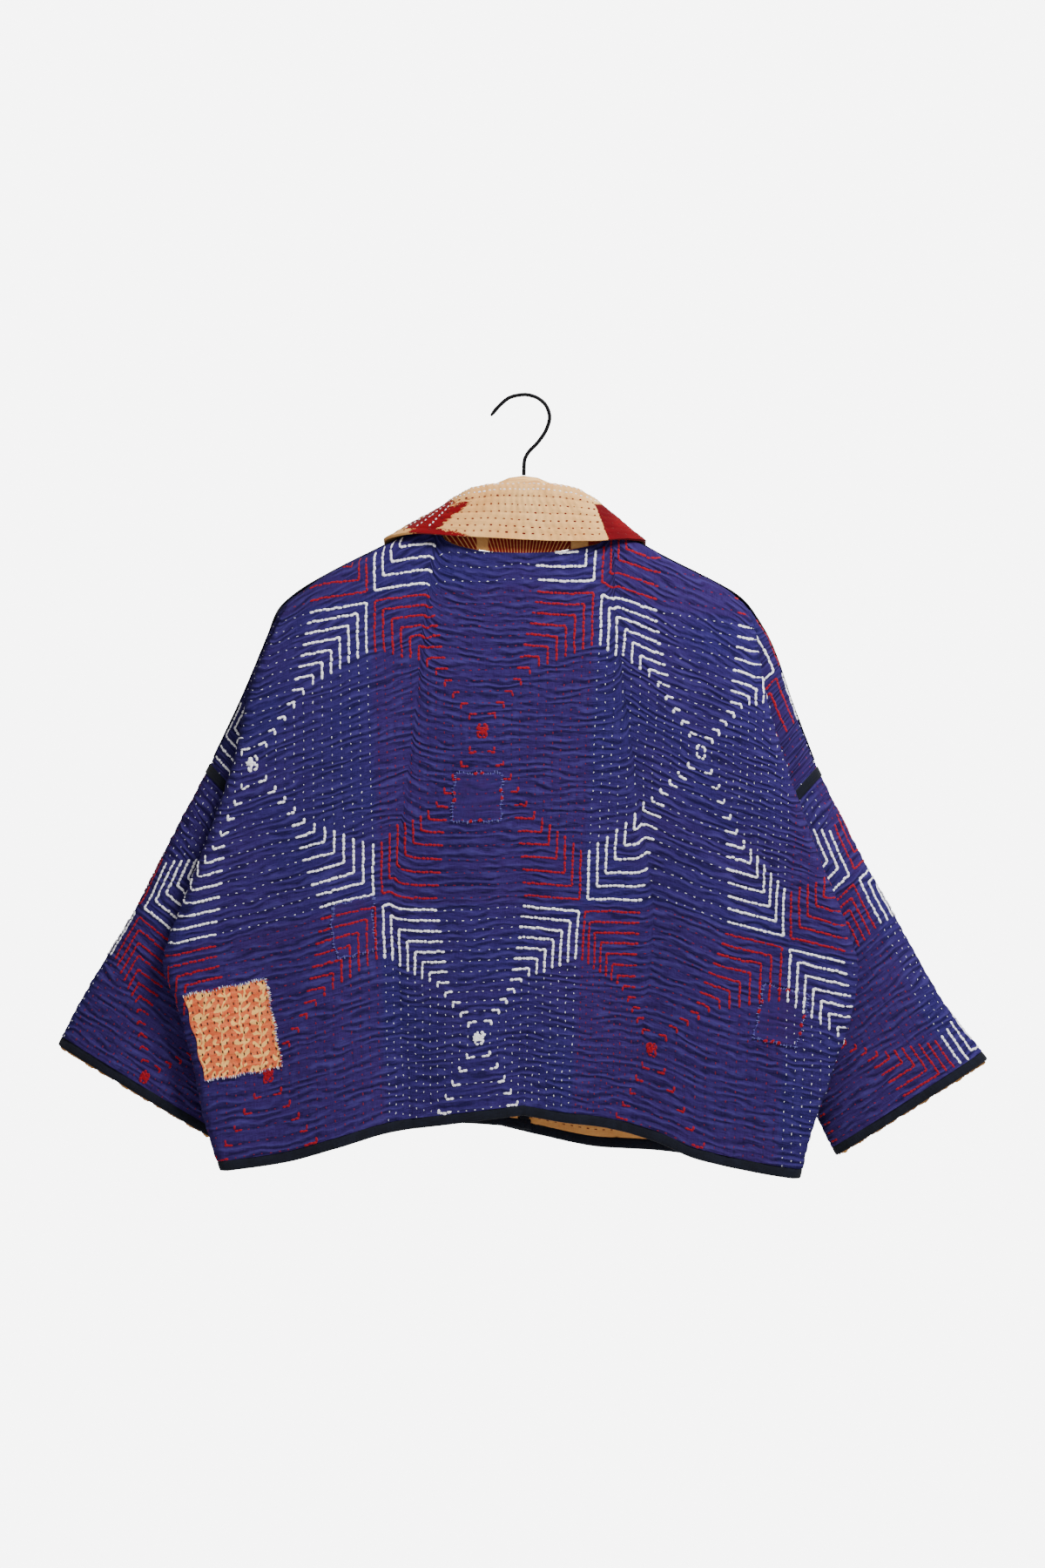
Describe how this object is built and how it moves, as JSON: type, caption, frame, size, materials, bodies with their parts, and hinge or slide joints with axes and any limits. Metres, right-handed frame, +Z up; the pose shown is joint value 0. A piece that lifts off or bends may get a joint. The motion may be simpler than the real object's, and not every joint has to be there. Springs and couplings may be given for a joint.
{
  "type": "quilted patchwork jacket on a clothes hanger",
  "caption": "Cropped boxy running-stitch quilt jacket with wide sleeves, fold-over collar and mending patches, hanging on a wooden clothes hanger with a wire hook.",
  "frame": {"origin": "the underside of the top of the wire hook, where a nail or rail carries the hanger", "axes": "+X across the back towards the garment's right as seen from behind, -Y the way the back faces, +Z up"},
  "size_m": [0.9638, 0.1044, 0.8124],
  "materials": {
    "indigo_quilt": "matte cotton quilt, indigo and violet outside, tan inside, rows of running stitch, slightly faded and puckered",
    "navy_binding": "matte navy cotton tape, softly rounded",
    "tan_print": "matte tan cotton with dark red print and white and red running stitch",
    "coral_print": "worn coral cotton with a pale leaf print and a frayed edge",
    "blue_patch": "worn blue cotton mending patch with a pale frayed edge",
    "pale_wood": "satin lacquered pale wood",
    "black_wire": "black painted steel wire, semi gloss"
  },
  "bodies": {
    "root": {"back": "indigo_quilt", "front_left": "indigo_quilt", "front_right": "indigo_quilt", "sleeve_left": "indigo_quilt", "sleeve_right": "indigo_quilt", "hem_binding_back": "navy_binding", "hem_binding_front_left": "navy_binding", "hem_binding_front_right": "navy_binding", "front_edge_binding_left": "navy_binding", "front_edge_binding_right": "navy_binding", "cuff_binding_left": "navy_binding", "cuff_binding_right": "navy_binding", "armhole_binding_left": "navy_binding", "armhole_binding_right": "navy_binding", "shoulder_binding_left": "navy_binding", "shoulder_binding_right": "navy_binding", "collar": "tan_print", "patch_coral": "coral_print", "patch_centre": "blue_patch", "patch_left": "blue_patch", "patch_right": "blue_patch", "hanger_bar": "pale_wood", "hanger_hook": "black_wire"}
  },
  "joints": []
}
